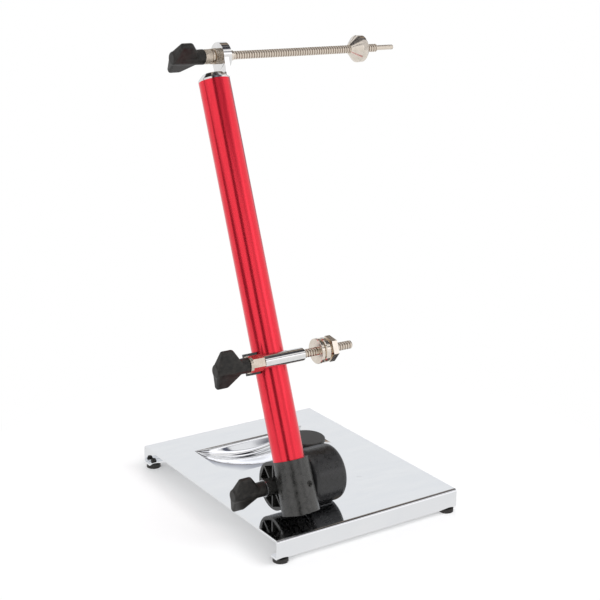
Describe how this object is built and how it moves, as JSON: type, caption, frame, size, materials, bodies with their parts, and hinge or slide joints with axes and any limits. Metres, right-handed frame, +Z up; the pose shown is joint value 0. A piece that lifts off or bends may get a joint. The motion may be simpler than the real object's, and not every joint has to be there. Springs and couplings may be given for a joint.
{
  "type": "bicycle wheel truing stand",
  "caption": "Bench stand with a chromed plate base and a leaning tube arm that carries a wheel axle with a cone, and a screw-set side gauge on a sliding collar.",
  "frame": {"origin": "on the bench surface, under the middle of the whole stand", "axes": "+Z up; +X along the axle, from the knobs to the wheel's side; +Y to the rear, the way the arm leans"},
  "size_m": [0.2762, 0.2558, 0.4366],
  "materials": {
    "chrome_sheet": "polished chrome plate",
    "red_anodised": "red anodised, satin gloss",
    "chrome_turned": "bright chrome plate",
    "nickel_steel": "turned, nickel plated",
    "zinc_steel": "zinc plated",
    "black_nylon": "moulded, fine satin",
    "black_rubber": "matte",
    "brass_insert": "turned"
  },
  "bodies": {
    "base": {"base_plate": "chrome_sheet", "rubber_feet": "black_rubber", "pivot_housing": "black_nylon", "housing_cap": "black_nylon", "base_screws": "zinc_steel", "pivot_bolt": "zinc_steel", "friction_washer": "black_nylon"},
    "arm": {"arm_knuckle": "black_nylon", "arm_tube": "red_anodised", "knuckle_screw": "zinc_steel", "arm_eye": "chrome_turned"},
    "tension_knob": {"pivot_knob": "black_nylon", "pivot_knob_insert": "brass_insert", "pivot_knob_washer": "zinc_steel"},
    "calliper": {"calliper_collar": "black_nylon", "collar_screw": "zinc_steel", "calliper_barrel": "chrome_turned"},
    "calliper_drive": {"calliper_knob": "black_nylon", "calliper_nut": "nickel_steel"},
    "gauge": {"gauge_rod": "nickel_steel", "gauge_disc": "nickel_steel", "gauge_ring": "nickel_steel", "gauge_locknut": "nickel_steel"},
    "axle": {"axle_rod": "nickel_steel", "axle_knob": "black_nylon", "axle_knurled_collar": "nickel_steel", "axle_clamp_nut": "nickel_steel", "axle_spacer": "nickel_steel"},
    "cone": {"axle_cone": "nickel_steel"},
    "cone_lock": {"cone_nut": "nickel_steel"}
  },
  "joints": [
    {"name": "arm_tilt", "type": "hinge", "parent": "base", "child": "arm", "pos_m": [-0.0705, -0.0771, 0.0498], "axis": [1, 0, 0], "range_deg": [-64, 3]},
    {"name": "tension_knob_turn", "type": "hinge", "parent": "base", "child": "tension_knob", "pos_m": [-0.0705, -0.0771, 0.0498], "axis": [1, 0, 0], "range_deg": [0, 720]},
    {"name": "calliper_slide", "type": "slide", "parent": "arm", "child": "calliper", "axis": [0, 0.3714, 0.9285], "range_m": [-0.047, 0.237]},
    {"name": "calliper_knob_turn", "type": "hinge", "parent": "calliper", "child": "calliper_drive", "pos_m": [-0.0705, -0.073, 0.16911], "axis": [1, 0, 0], "range_deg": [-725, 3970]},
    {"name": "gauge_travel", "type": "slide", "parent": "calliper", "child": "gauge", "axis": [1, 0, 0], "range_m": [-0.0054, 0.0297]},
    {"name": "axle_turn", "type": "hinge", "parent": "arm", "child": "axle", "pos_m": [-0.0705, 0.05061, 0.42242], "axis": [1, 0, 0], "continuous": true},
    {"name": "cone_travel", "type": "slide", "parent": "axle", "child": "cone", "axis": [1, 0, 0], "range_m": [-0.0648, 0.0135]},
    {"name": "cone_nut_turn", "type": "hinge", "parent": "cone", "child": "cone_lock", "pos_m": [-0.0705, 0.05061, 0.42242], "axis": [1, 0, 0], "range_deg": [-8650, 1810]}
  ],
  "couplings": [
    {"joint": "calliper_knob_turn", "follows": "gauge_travel", "rad_per_m": 2327.1},
    {"joint": "cone_nut_turn", "follows": "cone_travel", "rad_per_m": 2327.1}
  ]
}
